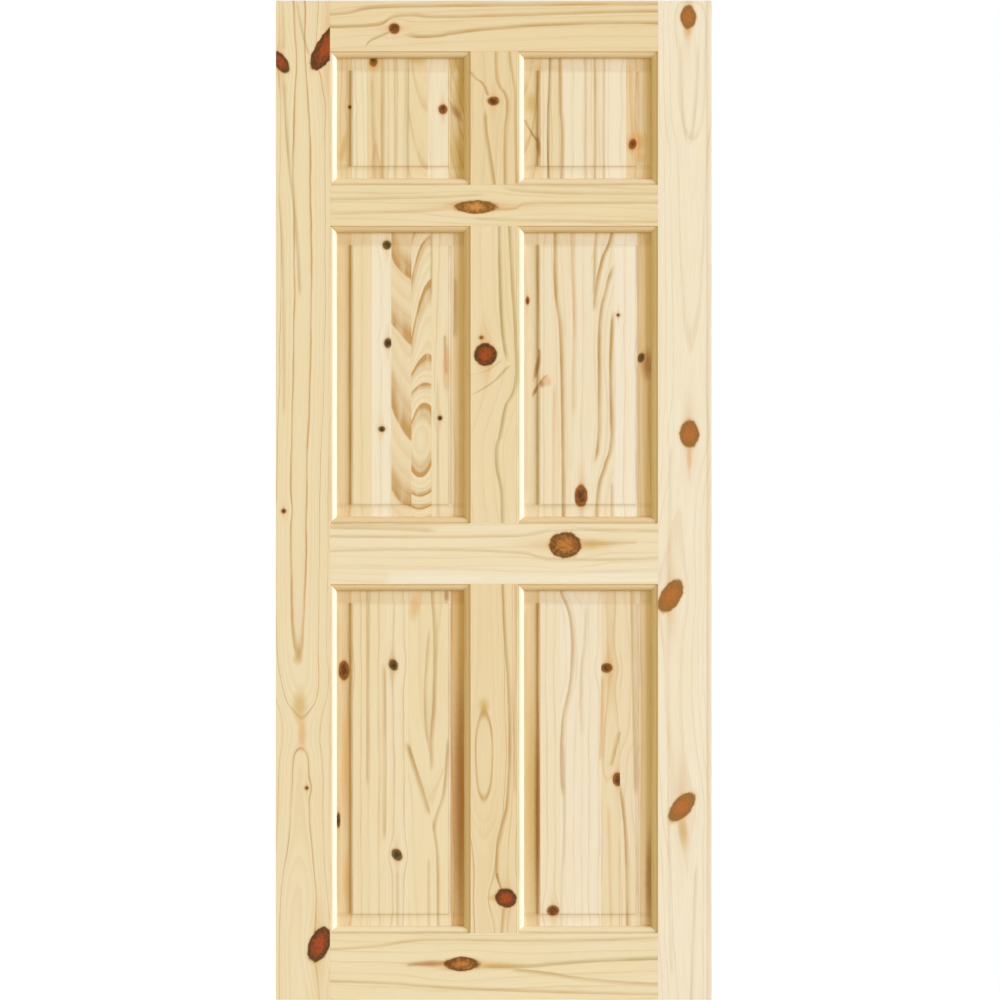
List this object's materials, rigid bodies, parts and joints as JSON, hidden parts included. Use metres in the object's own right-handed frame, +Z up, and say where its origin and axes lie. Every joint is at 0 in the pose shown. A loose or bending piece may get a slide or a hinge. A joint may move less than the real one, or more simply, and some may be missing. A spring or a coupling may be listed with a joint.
{
  "type": "panel door leaf",
  "caption": "Solid pine door leaf with moulded stiles, rails and mullions around raised panels, made to hang on hinges along one long edge and close a doorway.",
  "frame": {"origin": "on the hinge edge, at mid thickness, level with the bottom of the leaf", "axes": "+X from the hinge edge to the lock edge, +Y from the front face to the back, +Z up"},
  "size_m": [0.864, 0.035, 1.981],
  "materials": {
    "pine_frame": "matte",
    "pine_panel": "matte"
  },
  "bodies": {
    "root": {"left_stile": "pine_frame", "right_stile": "pine_frame", "top_rail": "pine_frame", "frieze_rail": "pine_frame", "lock_rail": "pine_frame", "bottom_rail": "pine_frame", "top_mullion": "pine_frame", "middle_mullion": "pine_frame", "bottom_mullion": "pine_frame", "top_left_panel": "pine_panel", "top_right_panel": "pine_panel", "middle_left_panel": "pine_panel", "middle_right_panel": "pine_panel", "bottom_left_panel": "pine_panel", "bottom_right_panel": "pine_panel"}
  },
  "joints": []
}
